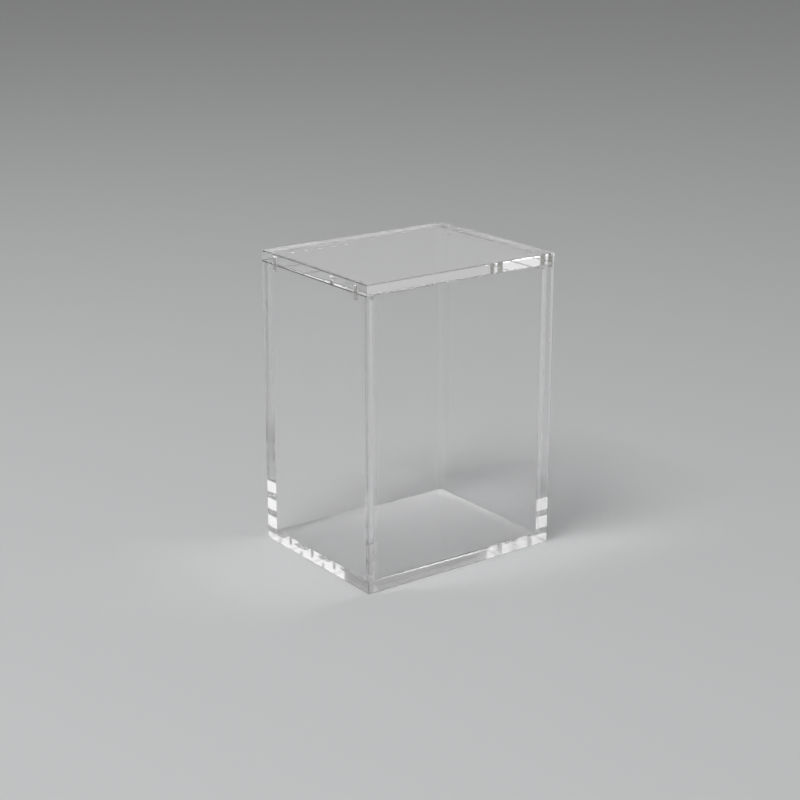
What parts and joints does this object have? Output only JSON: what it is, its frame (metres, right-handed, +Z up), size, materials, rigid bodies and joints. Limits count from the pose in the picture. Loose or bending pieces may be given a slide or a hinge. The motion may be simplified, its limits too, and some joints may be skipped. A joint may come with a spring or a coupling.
{
  "type": "acrylic display case",
  "caption": "Tall clear acrylic display case: welded base and walls with a flush lift-off lid held by small round magnets at its corners.",
  "frame": {"origin": "middle of the footprint on the surface that the case stands on", "axes": "+Z up towards the lid, -Y towards the wide front, +X to the right seen from the front"},
  "size_m": [0.13, 0.104, 0.176],
  "materials": {
    "acrylic": "clear cast acrylic sheet, polished edges",
    "magnet": "bright nickel plate"
  },
  "bodies": {
    "case": {"base_panel": "acrylic", "front_panel": "acrylic", "back_panel": "acrylic", "left_panel": "acrylic", "right_panel": "acrylic", "wall_magnet_front_left": "magnet", "wall_magnet_front_right": "magnet", "wall_magnet_back_left": "magnet", "wall_magnet_back_right": "magnet"},
    "lid": {"lid_panel": "acrylic", "lid_magnet_front_left": "magnet", "lid_magnet_front_right": "magnet", "lid_magnet_back_left": "magnet", "lid_magnet_back_right": "magnet"}
  },
  "joints": [
    {"name": "lid_lift", "type": "slide", "parent": "case", "child": "lid", "axis": [0, 0, 1], "range_m": [0, 0.18]}
  ]
}
